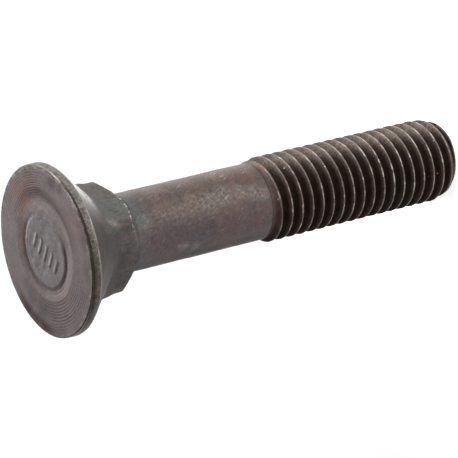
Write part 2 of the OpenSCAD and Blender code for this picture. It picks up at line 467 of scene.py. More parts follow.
# --- plain shank ---
shank_rows = [W_END + 0.03, W_END + 0.10, W_END + 0.22, W_END + 0.4] + list(np.arange(W_END + 0.75, THREAD_W - 0.3, 0.64)) + [THREAD_W + v for v in (0.1, 0.5, 0.85, 0.98, 1.05, 1.11, 1.18)]
for w in shank_rows:
    p = az * SHANK_R + np.array([0, 0, -w])
    near = 1 - smoothstep(0.0, 0.35, w - W_END)
    rr = SHANK_R + 0.010 * wave_big(p) + 0.008 * wave_mid(p) * (1 - near) + 0.004 * wave_fine(p)
    # a fine line where the rolling dies began
    line = math.exp(-((w - THREAD_W - 1.10) / 0.08) ** 2)
    rr = rr - 0.03 * line
    # the first rows past the bevel are darkened as well (near): painted shadow
    ring = add_ring(rr * CPHI, rr * SPHI, w, cav=0.30 * near + 0.75 * line, zone=0.75 - 0.13 * (1 - smoothstep(0.3, 3.2, w - W_END)))
    join(prev, ring)
    prev = ring


# --- thread ---
def thread_profile(u):
    """Radius of the full thread at u, the distance along the axis from a crest."""
    u = np.abs((u + PITCH / 2) % PITCH - PITCH / 2)
    xs = [0.0, 0.075, 0.12, 0.17, 0.64, 0.72, 0.80, PITCH / 2]
    rs = [MAJOR_R + 0.005, MAJOR_R, MAJOR_R - 0.035, MAJOR_R - 0.115, 5.02, 4.945, ROOT_R, ROOT_R]
    return np.interp(u, xs, rs)


def thread_point(phi, w):
    """Radius of the threaded part, the full thread's radius, and how far the thread has run in."""
    z = -w
    u = z - (CREST_PHASE + PITCH * phi / (2 * math.pi))
    full = thread_profile(u)
    on = smoothstep(THREAD_W + 1.15, THREAD_W + 2.5, w)
    dig = smoothstep(THREAD_W + 1.20, THREAD_W + 2.3, w)
    r = SHANK_R + (full - SHANK_R) * np.where(full > SHANK_R, on, dig)
    chamfer = CHAMFER_R + (END_R - CHAMFER_R) * (w - CHAMFER_W) / (LENGTH - CHAMFER_W)
    cut = np.minimum(r, chamfer)
    return cut, full, on


U_HALF = [0.075, 0.12, 0.17, 0.40, 0.64, 0.76]
U_ROWS = [0.0] + U_HALF + [PITCH - u for u in reversed(U_HALF)]
NU = len(U_ROWS)
W_TOP, W_BOT = THREAD_W + 1.24, 64.72


def ring_at(w, cav=0.0, zone=1.0, shrink=0.0):
    r, _, _ = thread_point(PHI, np.full(COLS, w))
    r = r - shrink
    return add_ring(r * CPHI, r * SPHI, w, cav=cav, zone=zone)


top = ring_at(W_TOP, cav=0.15, zone=0.83)
join(prev, top)
bottom = ring_at(W_BOT, zone=1.0)
turns_up = int(math.ceil((W_BOT + 60) / PITCH)) + 2
col_ids = []
g0, g1 = None, None
# a row g of column j lies at height CREST_PHASE + PITCH*(phi/2pi) + PITCH*k - u
k_hi = int(math.ceil((-W_TOP - CREST_PHASE) / PITCH)) + 1
k_lo = int(math.floor((-W_BOT - CREST_PHASE) / PITCH)) - 1
rows_all = [(k, i) for k in range(k_hi, k_lo - 1, -1) for i in range(NU)]
heights0 = np.array([CREST_PHASE + PITCH * k - U_ROWS[i] for k, i in rows_all])
NROW = len(rows_all)
us = np.array([U_ROWS[i] for _, i in rows_all])
gap = 0.055
wave_t = wave_fine
for j in range(COLS):
    z = heights0 + PITCH * PHI[j] / (2 * math.pi)
    w = -z
    ids = np.full(NROW, -1)
    ids[w <= W_TOP + gap] = top[j]
    ids[w >= W_BOT - gap] = bottom[j]
    live = np.nonzero(ids < 0)[0]
    wl = w[live]
    r, full, on = thread_point(np.full(len(live), PHI[j]), wl)
    p = np.stack([r * CPHI[j], r * SPHI[j], -wl], -1)
    off = np.abs((us[live] + PITCH / 2) % PITCH - PITCH / 2)
    crest = (1 - smoothstep(0.05, 0.125, off)) * smoothstep(5.45, 5.8, r)
    root = smoothstep(0.06, 0.36, off)
    hit = np.maximum(0, wave_mid(p * 1.6) - 1.35)
    r = r - crest * np.minimum(0.10, 0.09 * hit) - crest * 0.010 * (1 + wave_t(p * 0.7)) * 0.7
    r = np.minimum(r, 5.948)
    start = len(verts)
    verts.extend(zip((r * CPHI[j]).tolist(), (r * SPHI[j]).tolist(), (-wl + 0.012 * wave_t(p) * crest).tolist()))
    rubbed = round_table(view_angle(CPHI[j:j + 1], SPHI[j:j + 1]), (-180, 0.5), (-110, 0.4), (-75, 0.6), (-48, 1.1), (-5, 1.1), (20, 0.85), (45, 0.65), (62, 0.40), (78, 0.10), (100, 0.25))
    dirty = round_table(view_angle(CPHI[j:j + 1], SPHI[j:j + 1]), (-180, 0.92), (-60, 1.0), (10, 1.0), (35, 0.95), (55, 0.88), (90, 0.87), (130, 0.92))
    spark = np.clip((wave_mid(p * 1.6) - 1.05) / 0.4, 0, 1)
    wear_v.extend((crest * (0.25 + 0.75 * on) * rubbed * (0.26 + 0.75 * np.clip(wave_mid(p * 1.5), 0, 1) + 1.15 * spark)).tolist())
    cav_v.extend((root * on ** 1.5 * dirty).tolist())
    zone_v.extend((0.84 + 0.16 * smoothstep(W_TOP + 0.1, W_TOP + 1.8, wl)).tolist())
    ids[live] = np.arange(start, start + len(live))
    col_ids.append(ids)


def add_poly(loop):
    out = []
    for v in loop:
        if not out or out[-1] != v:
            out.append(v)
    if len(out) > 1 and out[0] == out[-1]:
        out.pop()
    if len(set(out)) == len(out) and len(out) >= 3:
        faces.append(tuple(out))


for j in range(COLS):
    a = col_ids[j]
    if j + 1 < COLS:
        b = col_ids[j + 1]
    else:
        # one turn on, the same helix row is one pitch higher
        b = np.full(NROW, -1)
        first = col_ids[0]
        b[NU:] = first[: NROW - NU]
        b[:NU] = top[0]
    for g in range(NROW - 1):
        add_poly((a[g], a[g + 1], b[g + 1], b[g]))

# --- thread end ---
prev = bottom
r_bot, _, _ = thread_point(PHI, np.full(COLS, W_BOT))
for w, dr in ((64.86, 0.03), (64.95, 0.09), (LENGTH, 0.20)):
    r = np.minimum(r_bot, END_R + 0.06) - dr
    ring = add_ring(r * CPHI, r * SPHI, w, wear=0.5, zone=1.0)
    join(prev, ring)
    prev = ring
end_r = np.minimum(r_bot, END_R + 0.06) - 0.20
for t in (0.93, 0.8, 0.6, 0.4, 0.2):
    ring = add_ring(end_r * t * CPHI, end_r * t * SPHI, LENGTH - (0.0 if t > 0.9 else 0.02), wear=0.2, zone=1.0)
    join(prev, ring)
    prev = ring
hub2 = len(verts)
verts.append((0.0, 0.0, -(LENGTH - 0.03)))
wear_v.append(0.2); cav_v.append(0.0); zone_v.append(1.0)
for j in range(COLS):
    faces.append((prev[j], hub2, prev[(j + 1) % COLS]))

# --------------------------------------------------------------------------
# Stains and worn spots, and some painted shade, as soft spots on the surface that the
# material breaks up: place in millimetres, radius, strength.
# --------------------------------------------------------------------------
VMM = np.array(verts, float)


def spots(*rows):
    out = np.zeros(len(VMM))
    for x, y, z, r, k in rows:
        d = np.linalg.norm(VMM - np.array([x, y, z]), axis=1)
        out = np.maximum(out, k * (1 - smoothstep(0.25 * r, r, d)))
    return out


def on_shank(azimuth, w, r, k, radius=SHANK_R):
    a = math.radians(azimuth)
    return radius * math.cos(a), radius * math.sin(a), -w, r, k


def on_face(angle, rho, r, k):
    """A spot on the face, by its view angle."""
    a = math.radians(-48.0 - angle)
    return rho * math.cos(a), rho * math.sin(a), 0, r, k


brown_v = spots(
    on_face(-108, 8.2, 2.3, 1.0), on_face(-100, 9.2, 1.9, 0.9), on_face(-122, 7.4, 1.5, 0.8), on_face(-98, 10.4, 1.4, 0.6),
    on_face(-160, 6.0, 1.5, 0.5), on_face(-135, 6.1, 1.2, 0.5), on_face(120, 11.2, 1.6, 0.7), on_face(150, 10.9, 1.3, 0.5),
    on_shank(-33, 3.6, 3.0, 0.35, 9.4), on_shank(-50, 3.4, 3.2, 0.45, 9.6), on_shank(-68, 3.2, 3.2, 0.45, 9.8), on_shank(-88, 3.0, 3.2, 0.4, 10.0),
    on_face(-15, 9.0, 3.0, 0.25), on_face(70, 6.2, 1.5, 0.3), (1.95, -6.72, -6.31, 0.7, 0.9),
    on_shank(-8, 21.5, 2.6, 0.35), on_shank(-10, 24.0, 2.6, 0.4), on_shank(4, 26.0, 2.4, 0.3), on_shank(-8, 29.0, 1.9, 0.55),
    on_shank(-14, 31.0, 1.9, 0.6), on_shank(-2, 32.5, 1.6, 0.4), on_face(-90, 5.7, 0.9, 0.7), on_face(-112, 9.8, 2.2, 0.9), on_face(-88, 9.6, 2.0, 0.8), on_face(-104, 7.2, 1.6, 0.9), on_shank(-76, 30.5, 2.2, 0.35), (5.9, 0.3, -34.6, 2.4, 0.8),
    on_shank(150, 17, 4.0, 0.6), on_shank(110, 27, 4.0, 0.6), on_shank(-170, 24, 3.2, 0.5), (-6.5, 0.5, -8.0, 1.6, 0.6),
)
green_v = spots(
    on_face(-168, 8.9, 1.5, 0.6), on_face(-122, 10.7, 1.3, 0.5), on_face(-40, 3.4, 1.7, 0.6), on_face(150, 9.4, 1.8, 0.7), on_face(-25, 6.4, 1.9, 0.5), on_face(-38, 8.6, 1.4, 0.5),
    on_face(180, 4.9, 1.2, 0.35), on_face(160, 4.9, 1.2, 0.35), on_face(-160, 4.9, 1.2, 0.3), on_face(140, 4.9, 1.1, 0.6), on_face(-142, 4.9, 1.0, 0.5), on_face(20, 7.4, 1.2, 0.35),
    (5.65, -3.8, -7.0, 1.9, 1.0), (2.6, -6.0, -8.0, 2.2, 0.5), (5.6, -4.95, -8.6, 1.7, 1.0),
    (6.1, -2.2, -8.6, 3.6, 0.8), (5.62, -4.66, -6.9, 2.2, 0.9), on_face(120, 9.0, 1.8, 0.8), on_face(112, 10.2, 1.0, 0.6),
    on_shank(-8, 12.2, 2.6, 0.6), on_shank(-35, 12.6, 2.8, 0.65), on_shank(-48, 13.8, 2.2, 0.5), on_shank(10, 13.5, 2.4, 0.5),
    (-4.0, -5.5, -8.5, 3.4, 0.6), (-3.5, 5.8, -7.5, 3.4, 0.6), (-4.5, -2.8, -14.0, 3.4, 0.6), (5.6, 2.4, -36.0, 3.0, 0.4),
)
violet_v = spots(
    # the spots in these two lines run down the shank's lower side and darken it: painted shade, with a violet tint
    on_shank(-80, 14, 4.2, 0.8), on_shank(-80, 18, 4.2, 0.9), on_shank(-80, 22, 4.2, 1.0), on_shank(-80, 26, 4.2, 1.0), on_shank(-82, 30, 4.2, 1.0),
    on_shank(-118, 15, 4.2, 0.8), on_shank(-118, 20, 4.2, 0.9), on_shank(-118, 25, 4.2, 0.9), on_shank(-118, 30, 4.2, 0.9),
    on_face(-178, 4.7, 1.3, 1.0), on_face(162, 4.7, 1.2, 1.0), on_face(-158, 4.6, 1.2, 0.9), on_face(142, 10.1, 1.4, 0.8), on_face(128, 10.0, 1.2, 0.7),
    (1.0, -6.6, -8.0, 3.4, 0.6), (3.6, -6.2, -7.8, 2.8, 0.7), (-1.0, -7.6, -6.0, 3.4, 0.9), on_face(100, 8.5, 2.5, 0.3), on_face(20, 9.0, 2.6, 0.3),
    on_face(166, 10.6, 1.6, 0.5), on_face(-165, 8.2, 1.5, 0.4), on_face(-60, 9.4, 1.8, 0.4), on_face(50, 8.8, 2.2, 0.4), on_face(-20, 10.2, 1.8, 0.4),
    on_shank(170, 28, 4.2, 0.7), on_shank(140, 22, 3.6, 0.6),
)
pale_v = spots(
    on_shank(-35, 30.2, 1.6, 1.0), on_shank(-42, 31.6, 1.3, 1.0), on_shank(-30, 28.2, 1.5, 0.9), on_shank(-30, 25.6, 2.2, 0.85),
    on_shank(-34, 23.0, 2.4, 0.80), on_shank(-32, 20.6, 2.2, 0.6), on_shank(-38, 18.0, 2.2, 0.42), on_shank(-36, 15.5, 2.0, 0.35),
    on_shank(-40, 12.8, 1.8, 0.30), on_shank(-92, 18.6, 1.0, 1.0), on_shank(-96, 20.4, 1.0, 1.0), on_shank(-89, 17.8, 0.7, 0.9),
    on_shank(8, 16.0, 2.4, 0.35), on_shank(14, 21.0, 2.6, 0.30), on_shank(12, 27.0, 2.8, 0.35), on_shank(16, 31.5, 2.2, 0.35),
    (1.9, -5.65, -8.6, 0.5, 0.9), (2.3, -5.65, -8.2, 0.4, 0.6),
    (5.65, -4.1, -6.9, 1.6, 0.35), on_shank(-64, 10.6, 1.8, 0.35, 6.1), on_face(-100, 11.2, 1.6, 0.4), on_face(-150, 9.4, 2.0, 0.30), on_face(-125, 8.6, 1.7, 0.22),
    on_shank(135, 21, 3.0, 0.45), on_shank(-165, 26, 2.0, 0.6), on_shank(-150, 17, 2.4, 0.4),
)
dark_v = spots(
    (5.6, -4.95, -8.6, 1.6, 1.0), (5.65, -4.6, -8.0, 1.1, 0.9), (5.6, -4.7, -9.2, 1.3, 1.0), (5.6, -5.3, -8.4, 1.3, 1.0), on_shank(-5, 27.3, 1.0, 0.50), on_shank(-68, 23.0, 0.7, 0.45),
    on_face(120, 11.3, 1.8, 0.40), on_face(131, 11.3, 1.8, 0.45), on_face(109, 11.3, 1.6, 0.35), on_face(142, 11.4, 1.5, 0.40),
    # the two spots at y = -5.65 darken the neck's lower flat: painted shade
    on_face(122, 8.2, 2.4, 0.50), on_face(142, 8.2, 2.2, 0.56), on_face(154, 8.0, 1.6, 0.40), on_face(8, 5.7, 1.3, 0.16), on_face(-4, 7.5, 1.4, 0.12), on_face(59, 4.4, 1.2, 0.14), on_face(-88, 10.8, 1.9, 0.30), on_face(104, 8.2, 2.0, 0.35), (0.4, -5.65, -7.6, 2.6, 0.20), (-3.5, -5.65, -7.3, 3.4, 0.26), (5.65, -2.6, -7.2, 3.0, 0.16),
    on_face(142, 5.3, 0.9, 0.25), on_face(-54, 10.4, 1.7, 0.75), on_face(-44, 10.7, 1.3, 0.6), on_face(0, 11.3, 2.2, 0.55), on_face(-12, 11.2, 1.4, 0.4), on_face(-90, 5.65, 1.0, 0.35), on_face(12, 4.3, 1.2, 0.20), on_face(70, 11.3, 2.4, 0.18), on_face(95, 8.6, 4.6, 0.10),
    on_face(-90, 8.0, 3.4, 0.08), (4.2, -10.9, -0.9, 3.4, 0.34), (-0.5, -11.7, -0.9, 3.6, 0.26), (-5.0, -10.6, -0.9, 3.6, 0.15),
    # the first five spots darken the shank's underside: painted shade
    on_shank(-133, 14.0, 3.6, 0.30), on_shank(-133, 19.0, 3.6, 0.30), on_shank(-133, 24.0, 3.6, 0.30), on_shank(-133, 29.0, 3.6, 0.32), on_shank(-133, 32.0, 3.0, 0.30), (-5.6, -4.7, -8.8, 1.0, 0.6), (-5.3, 0.9, -29.5, 1.2, 0.5), (-1.4, 5.2, -20.0, 1.2, 0.45),
)

# dust lies on one side of the thread, less in the grooves than on the flanks
around_v = view_angle(VMM[:, 0], VMM[:, 1])
flank_dust = round_table(around_v, (-150, 0.0), (-112, 0.40), (-90, 0.45), (-76, 0.55), (-62, 1.0), (-50, 0.90), (-40, 0.55), (-30, 0.18), (-18, 0.0))
groove_dust = round_table(around_v, (-150, 0.0), (-112, 0.40), (-90, 0.42), (-72, 0.65), (-60, 0.72), (-52, 0.25), (-44, 0.04), (-36, 0.0), (-28, 0.0))
in_groove = 1 - smoothstep(5.10, 5.65, np.hypot(VMM[:, 0], VMM[:, 1]))
thin_dust = 1 - 0.14 * smoothstep(45, 52, -VMM[:, 2]) * (1 - smoothstep(-70, -60, around_v))
dust_v = thin_dust * (flank_dust + in_groove * (groove_dust - flank_dust)) * smoothstep(0.88, 0.97, np.array(zone_v)) * (VMM[:, 2] > -64.1)

# the shank is painted lighter on the side towards the light and darker on its underside: painted light and shade
lit_and_shaded_tone_v = round_table(around_v, (-178, 1.0), (-120, 1.0), (-90, 1.30), (-76, 1.34), (-66, 1.14), (-56, 1.0), (-45, 0.86), (-34, 0.90), (-22, 0.90), (-10, 1.08), (4, 1.03), (20, 1.02),
                     (40, 1.04), (52, 1.0), (64, 0.84), (76, 0.84), (92, 0.92), (120, 1.0))
on_shank_v = ((np.array(zone_v) > 0.61) & (np.array(zone_v) < 0.9)).astype(float)
# the thread is painted darker on its underside: painted shade
thread_shade_tone = round_table(around_v, (-180, 1.0), (20, 1.0), (38, 1.12), (55, 1.05), (66, 0.92), (76, 0.78), (92, 0.74), (112, 0.90), (130, 1.0))
lit_and_shaded_tone_v = np.where(np.array(zone_v) >= 0.9, thread_shade_tone, 1.0 + (lit_and_shaded_tone_v - 1.0) * on_shank_v)
# the cone is painted darker on its lower side: painted shade; a few spots brighten two patches on the neck by its
# corner: painted highlight
cone_shade_tone = round_table(around_v, (-60, 1.0), (-31, 1.0), (-21, 0.95), (-8, 0.90), (45, 0.90), (60, 0.93), (80, 0.97), (110, 1.0))
on_cone_v = (np.abs(np.array(zone_v) - 0.5) < 0.01) * (1 - smoothstep(5.0, 8.6, -VMM[:, 2]))
lit_and_shaded_tone_v = lit_and_shaded_tone_v * (1 + (cone_shade_tone - 1) * on_cone_v) * (1 + spots((5.65, -4.2, -6.5, 1.0, 0.50), (5.65, -4.45, -7.3, 0.9, 0.60), (5.6, -4.8, -8.0, 0.7, 0.40), (4.2, -5.9, -8.8, 2.3, 0.20)))

# --------------------------------------------------------------------------
mesh = bpy.data.meshes.new("bolt_body")
mesh.from_pydata((VMM * MM).tolist(), [], [tuple(int(v) for v in f) for f in faces])
mesh.update()
for name, data in (("wear", wear_v), ("cavity", cav_v), ("zone", zone_v), ("brown", brown_v),
                   ("green", green_v), ("violet", violet_v), ("pale", pale_v), ("dark", dark_v),
                   ("dust", dust_v), ("tone", lit_and_shaded_tone_v)):
    at = mesh.attributes.new(name, "FLOAT", "POINT")
    at.data.foreach_set("value", np.array(data, np.float32))
mesh.shade_smooth()
mesh.set_sharp_from_angle(angle=math.radians(32))
body = bpy.data.objects.new("bolt_body", mesh)
SCENE.collection.objects.link(body)


# --------------------------------------------------------------------------
# Materials
# --------------------------------------------------------------------------
class Graph:
    """Short calls for building a shader's nodes."""

    def __init__(self, name):
        self.mat = bpy.data.materials.new(name)
        self.mat.use_nodes = True
        self.tree = self.mat.node_tree
        self.bsdf = self.tree.nodes["Principled BSDF"]

    def put(self, value, socket):
        if isinstance(value, bpy.types.NodeSocket):
            self.tree.links.new(value, socket)
        else:
            if isinstance(value, (tuple, list)) and len(value) == 3 and len(socket.default_value) == 4:
                value = (*value, 1.0)
            socket.default_value = value

    def new(self, kind, out=0, ins=None, **props):
        n = self.tree.nodes.new(kind)
        for k, v in props.items():
            setattr(n, k, v)
        for k, v in (ins or {}).items():
            self.put(v, n.inputs[k])
        return n.outputs[out]

    def math(self, op, a, b=0.0, c=0.0, clamp=False):
        return self.new("ShaderNodeMath", ins={0: a, 1: b, 2: c}, operation=op, use_clamp=clamp)

    def vec(self, op, a, b=(0, 0, 0)):
        return self.new("ShaderNodeVectorMath", ins={0: a, 1: b}, operation=op)

    def noise(self, p, scale, detail=3.0, rough=0.55, distortion=0.0, out="Fac"):
        return self.new("ShaderNodeTexNoise", out, {"Vector": p, "Scale": scale, "Detail": detail,
                        "Roughness": rough, "Distortion": distortion})

    def remap(self, v, a, b, c=0.0, d=1.0, smooth=False):
        return self.new("ShaderNodeMapRange", ins={0: v, 1: a, 2: b, 3: c, 4: d}, clamp=True,
                        interpolation_type="SMOOTHSTEP" if smooth else "LINEAR")

    def mix(self, f, a, b, blend="MIX"):
        n = self.tree.nodes.new("ShaderNodeMix")
        n.data_type = "RGBA"
        n.blend_type = blend
        n.clamp_factor = True
        self.put(f, n.inputs[0])
        self.put(a, n.inputs[6])
        self.put(b, n.inputs[7])
        return n.outputs[2]

    def lerp(self, f, a, b):
        n = self.tree.nodes.new("ShaderNodeMix")
        n.data_type = "FLOAT"
        self.put(f, n.inputs[0])
        self.put(a, n.inputs[2])
        self.put(b, n.inputs[3])
        return n.outputs[0]

    def attr(self, name):
        return self.new("ShaderNodeAttribute", "Fac", attribute_name=name)

    def ramp(self, v, *stops, mode="LINEAR"):
        n = self.tree.nodes.new("ShaderNodeValToRGB")
        n.color_ramp.interpolation = mode
        e = n.color_ramp.elements
        while len(e) < len(stops):
            e.new(0.5)
        for el, (pos, col) in zip(e, stops):
            el.position = pos
            el.color = (*col, 1.0)
        self.put(v, n.inputs[0])
        return n.outputs[0]


def steel_material():
    g = Graph("dark_steel")
    obj = g.new("ShaderNodeTexCoord", "Object")
    p = g.new("ShaderNodeVectorMath", ins={0: obj, "Scale": 1000.0}, operation="SCALE")
    xyz = g.tree.nodes.new("ShaderNodeSeparateXYZ")
    g.put(p, xyz.inputs[0])
    x, y, z = xyz.outputs
    radius = g.math("SQRT", g.math("ADD", g.math("MULTIPLY", x, x), g.math("MULTIPLY", y, y)))
    around = g.math("MULTIPLY", g.math("ARCTAN2", y, x), 5.4)
    unrolled = g.new("ShaderNodeCombineXYZ", ins={0: around, 1: z})
    # the same with its seam on the other side, so that the two can take turns
    behind = g.math("MULTIPLY", g.math("ARCTAN2", g.math("MULTIPLY", y, -1.0), g.math("MULTIPLY", x, -1.0)), 5.4)
    unrolled_b = g.new("ShaderNodeCombineXYZ", ins={0: behind, 1: z})
    front_side = g.remap(x, -1.6, 0.6)

    zone, wear, cav = g.attr("zone"), g.attr("wear"), g.attr("cavity")
    brown, green, pale, dark, violet = g.attr("brown"), g.attr("green"), g.attr("pale"), g.attr("dark"), g.attr("violet")

    big = g.noise(p, 0.17, 3.0, 0.6)
    mid = g.noise(p, 0.75, 4.0, 0.6, 0.4)
    small = g.noise(p, 2.6, 4.0, 0.6)
    grain = g.noise(p, 8.0, 2.0, 0.6)

    on_face = g.remap(zone, 0.12, 0.04)
    on_thread = g.remap(zone, 0.85, 0.97)
    on_shank = g.math("MULTIPLY", g.remap(zone, 0.61, 0.66), g.remap(zone, 0.97, 0.85))
    on_land = g.math("MULTIPLY", g.remap(zone, 0.12, 0.18), g.remap(zone, 0.29, 0.23))

    # base colour of each part of the bolt
    col = g.ramp(zone,
                 (0.00, (0.160, 0.131, 0.131)), (0.10, (0.160, 0.131, 0.131)), (0.20, (0.034, 0.024, 0.019)),
                 (0.30, (0.106, 0.091, 0.081)), (0.50, (0.082, 0.077, 0.073)), (0.62, (0.108, 0.102, 0.097)),
                 (0.75, (0.106, 0.085, 0.077)), (0.85, (0.088, 0.062, 0.056)), (1.00, (0.080, 0.056, 0.047)))
    # the forged disc is a little cooler than the turned face
    disc = g.math("MULTIPLY", on_face, g.remap(radius, 5.4, 4.7))
    col = g.mix(disc, col, (0.157, 0.139, 0.142))
    # slow swings between a warm and a cool film of oxide
    warm = g.mix(1.0, col, (1.14, 0.99, 0.93), "MULTIPLY")
    cool = g.mix(1.0, col, (0.87, 0.955, 0.985), "MULTIPLY")
    swing = g.remap(big, 0.36, 0.64)
    col = g.mix(g.lerp(on_face, swing, g.remap(big, 0.30, 0.70, 0.32, 0.68)), cool, warm)
    # mottling at three sizes
    m = g.math("ADD", g.remap(mid, 0.28, 0.72, -0.17, 0.17), g.remap(small, 0.30, 0.70, -0.20, 0.20))
    m = g.math("ADD", m, g.remap(grain, 0.30, 0.70, -0.18, 0.18))
    m = g.math("ADD", m, g.math("MULTIPLY", on_face, g.remap(g.noise(p, 4.6, 3.0, 0.7), 0.32, 0.68, -0.16, 0.16)))
    # fine turned lines on the face
    spun = g.new("ShaderNodeCombineXYZ", ins={0: radius, 1: g.math("MULTIPLY", around, 0.06)})
    lines = g.remap(g.noise(spun, 5.5, 3.0, 0.7), 0.3, 0.7, -0.13, 0.13)
    m = g.math("ADD", m, g.math("MULTIPLY", lines, g.math("MULTIPLY", on_face, g.remap(radius, 5.0, 6.2))))
    m = g.math("ADD", m, g.math("MULTIPLY", on_thread, g.remap(g.noise(p, 5.2, 2.0, 0.6), 0.32, 0.68, -0.28, 0.28)))
    # the rim is coarser than the rest
    on_rim = g.math("MULTIPLY", g.remap(zone, 0.15, 0.24), g.remap(zone, 0.40, 0.33))
    m = g.math("ADD", m, g.math("MULTIPLY", on_rim, g.remap(g.noise(p, 2.1, 3.0, 0.6, 0.3), 0.34, 0.66, -0.38, 0.42)))
    # and so, a little, is the forged skin of the cone and the neck
    skin = g.math("MULTIPLY", g.remap(zone, 0.40, 0.47), g.remap(zone, 0.66, 0.61))
    m = g.math("ADD", m, g.math("MULTIPLY", skin, g.remap(g.noise(p, 3.1, 4.0, 0.7, 0.2), 0.34, 0.66, -0.24, 0.26)))
    # the tone mark multiplies in the painted light and shade of the shank, thread, cone and neck
    m = g.math("MULTIPLY", g.math("ADD", m, 1.0), g.attr("tone"))
    speckled = g.new("ShaderNodeCombineXYZ", ins={0: m, 1: m, 2: m})
    col = g.mix(1.0, col, speckled, "MULTIPLY")

    broken = g.remap(mid, 0.38, 0.60)
    fine_broken = g.remap(small, 0.40, 0.58)
    # each stain tints the steel under it; the violet and dark marks also lay on painted shade
    for amount, tint in (
            (g.math("MULTIPLY", brown, g.remap(g.lerp(0.5, broken, fine_broken), 0.0, 0.7, 0.1, 1.0)), (1.24, 0.88, 0.67)),
            (g.math("MULTIPLY", green, g.lerp(0.30, 0.50, broken)), (0.80, 1.08, 0.98)),
            (g.math("MULTIPLY", violet, g.lerp(0.3, 0.9, broken)), (0.86, 0.80, 0.93)),
            (g.math("MULTIPLY", dark, g.remap(small, 0.30, 0.52, 0.35, 1.0)), (0.29, 0.25, 0.22))):
        col = g.mix(amount, col, g.mix(1.0, col, tint, "MULTIPLY"))

    # small freckles of rust
    freckle = g.math("MULTIPLY", g.remap(g.noise(p, 1.7, 2.0, 0.5, 0.6), 0.66, 0.72), g.remap(big, 0.44, 0.56))
    col = g.mix(g.math("MULTIPLY", freckle, 0.55), col, (0.120, 0.060, 0.038))

    # scuffs: short bright scratches and fine streaks, slanting across the shank
    def both_sides(pattern):
        return g.lerp(front_side, pattern(unrolled_b), pattern(unrolled))

    def dashes(turn, length, width, reach, keep, shade):
        def pattern(flat):
            q = g.new("ShaderNodeVectorRotate", ins={"Vector": flat, "Angle": turn}, rotation_type="Z_AXIS")
            q = g.vec("MULTIPLY", q, (1.0 / length, 1.0 / width, 1.0))
            v = g.tree.nodes.new("ShaderNodeTexVoronoi")
            v.voronoi_dimensions = "2D"
            v.inputs["Scale"].default_value = 1.0
            g.put(q, v.inputs["Vector"])
            sep = g.tree.nodes.new("ShaderNodeSeparateColor")
            g.put(v.outputs["Color"], sep.inputs[0])
            there = g.math("MULTIPLY", g.remap(sep.outputs[0], keep, keep + 0.03), g.remap(sep.outputs[1], 0.0, 1.0, shade, 1.0))
            return g.math("MULTIPLY", g.remap(v.outputs["Distance"], reach, reach * 0.4), there)
        return both_sides(pattern)

    def streaks(turn, length, width):
        def pattern(flat):
            q = g.new("ShaderNodeVectorRotate", ins={"Vector": flat, "Angle": turn}, rotation_type="Z_AXIS")
            return g.noise(g.vec("MULTIPLY", q, (1.0 / length, 1.0 / width, 1.0)), 1.0, 2.0, 0.6)
        return both_sides(pattern)

    streak = streaks(math.radians(62), 0.95, 0.26)
    scuff = g.math("MAXIMUM", dashes(math.radians(61), 2.0, 0.36, 0.17, 0.70, 0.35),
                   dashes(math.radians(70), 1.4, 0.30, 0.16, 0.62, 0.20))
    cut = g.math("MULTIPLY", dashes(math.radians(60), 3.0, 0.50, 0.19, 0.80, 0.25), g.math("MULTIPLY", on_shank, g.math("MULTIPLY", g.remap(on_thread, 1.0, 0.0), g.remap(pale, 0.0, 0.3, 0.22, 1.0))))
    scuffed = g.math("ADD", g.remap(g.noise(p, 0.33, 2.0), 0.40, 0.60, 0.15, 0.70), g.math("MULTIPLY", pale, 1.2), clamp=True)
    scuffed = g.math("MULTIPLY", scuffed, g.lerp(on_shank, 0.08, 1.0))
    scuffed = g.math("MULTIPLY", scuffed, g.remap(on_thread, 1.0, 0.0))
    scuff = g.math("MULTIPLY", scuff, scuffed)
    rubbed = g.math("MULTIPLY", pale, g.remap(g.lerp(0.35, small, streak), 0.40, 0.62, 0.10, 1.0))
    bright = g.math("MAXIMUM", g.math("MULTIPLY", scuff, 0.9), g.math("MULTIPLY", rubbed, 0.55))
    col = g.mix(bright, col, (0.290, 0.256, 0.232))
    col = g.mix(g.math("MULTIPLY", cut, 0.80), col, (0.400, 0.370, 0.345))
    veined = g.math("MULTIPLY", g.remap(streak, 0.25, 0.75, -0.09, 0.09), on_shank)
    veined = g.math("ADD", veined, 1.0)
    col = g.mix(1.0, col, g.new("ShaderNodeCombineXYZ", ins={0: veined, 1: veined, 2: veined}), "MULTIPLY")

    # bright sandy specks on the rear half of the rim
    on_ridge = g.math("MULTIPLY", g.remap(zone, 0.25, 0.29), g.remap(zone, 0.40, 0.33))
    col = g.mix(g.math("MULTIPLY", on_ridge, g.remap(y, -7.5, -4.0, 0.0, 0.7)), col, g.mix(1.0, (0.116, 0.104, 0.096), speckled, "MULTIPLY"))
    speck = g.math("MULTIPLY", g.remap(g.noise(p, 4.2, 4.0, 0.7, 0.3), 0.50, 0.66), on_ridge)
    speck_side = g.math("MULTIPLY", g.remap(y, -10.9, -9.0, 0.12, 1.0), g.remap(y, -1.5, -5.5, 0.35, 1.0))
    col = g.mix(g.math("MULTIPLY", speck, g.math("MULTIPLY", speck_side, 0.70)), col, (0.360, 0.318, 0.270))

    # dirt and oxide in the hollows, and painted shade where the cavity mark carries it: the sides of the bars, bands
    # and troughs round the face, the cone's fillet and the neck's bevel
    hollow = g.math("MULTIPLY", cav, g.remap(mid, 0.2, 0.7, 1.06, 0.92), clamp=True)
    col = g.mix(hollow, col, (0.0125, 0.0072, 0.0052))

    # grey-brown dust on the thread
    dusting = g.math("MULTIPLY", g.attr("dust"), g.remap(small, 0.30, 0.60, 0.62, 1.0), clamp=True)
    col = g.mix(dusting, col, g.mix(1.0, (0.141, 0.115, 0.095), speckled, "MULTIPLY"))

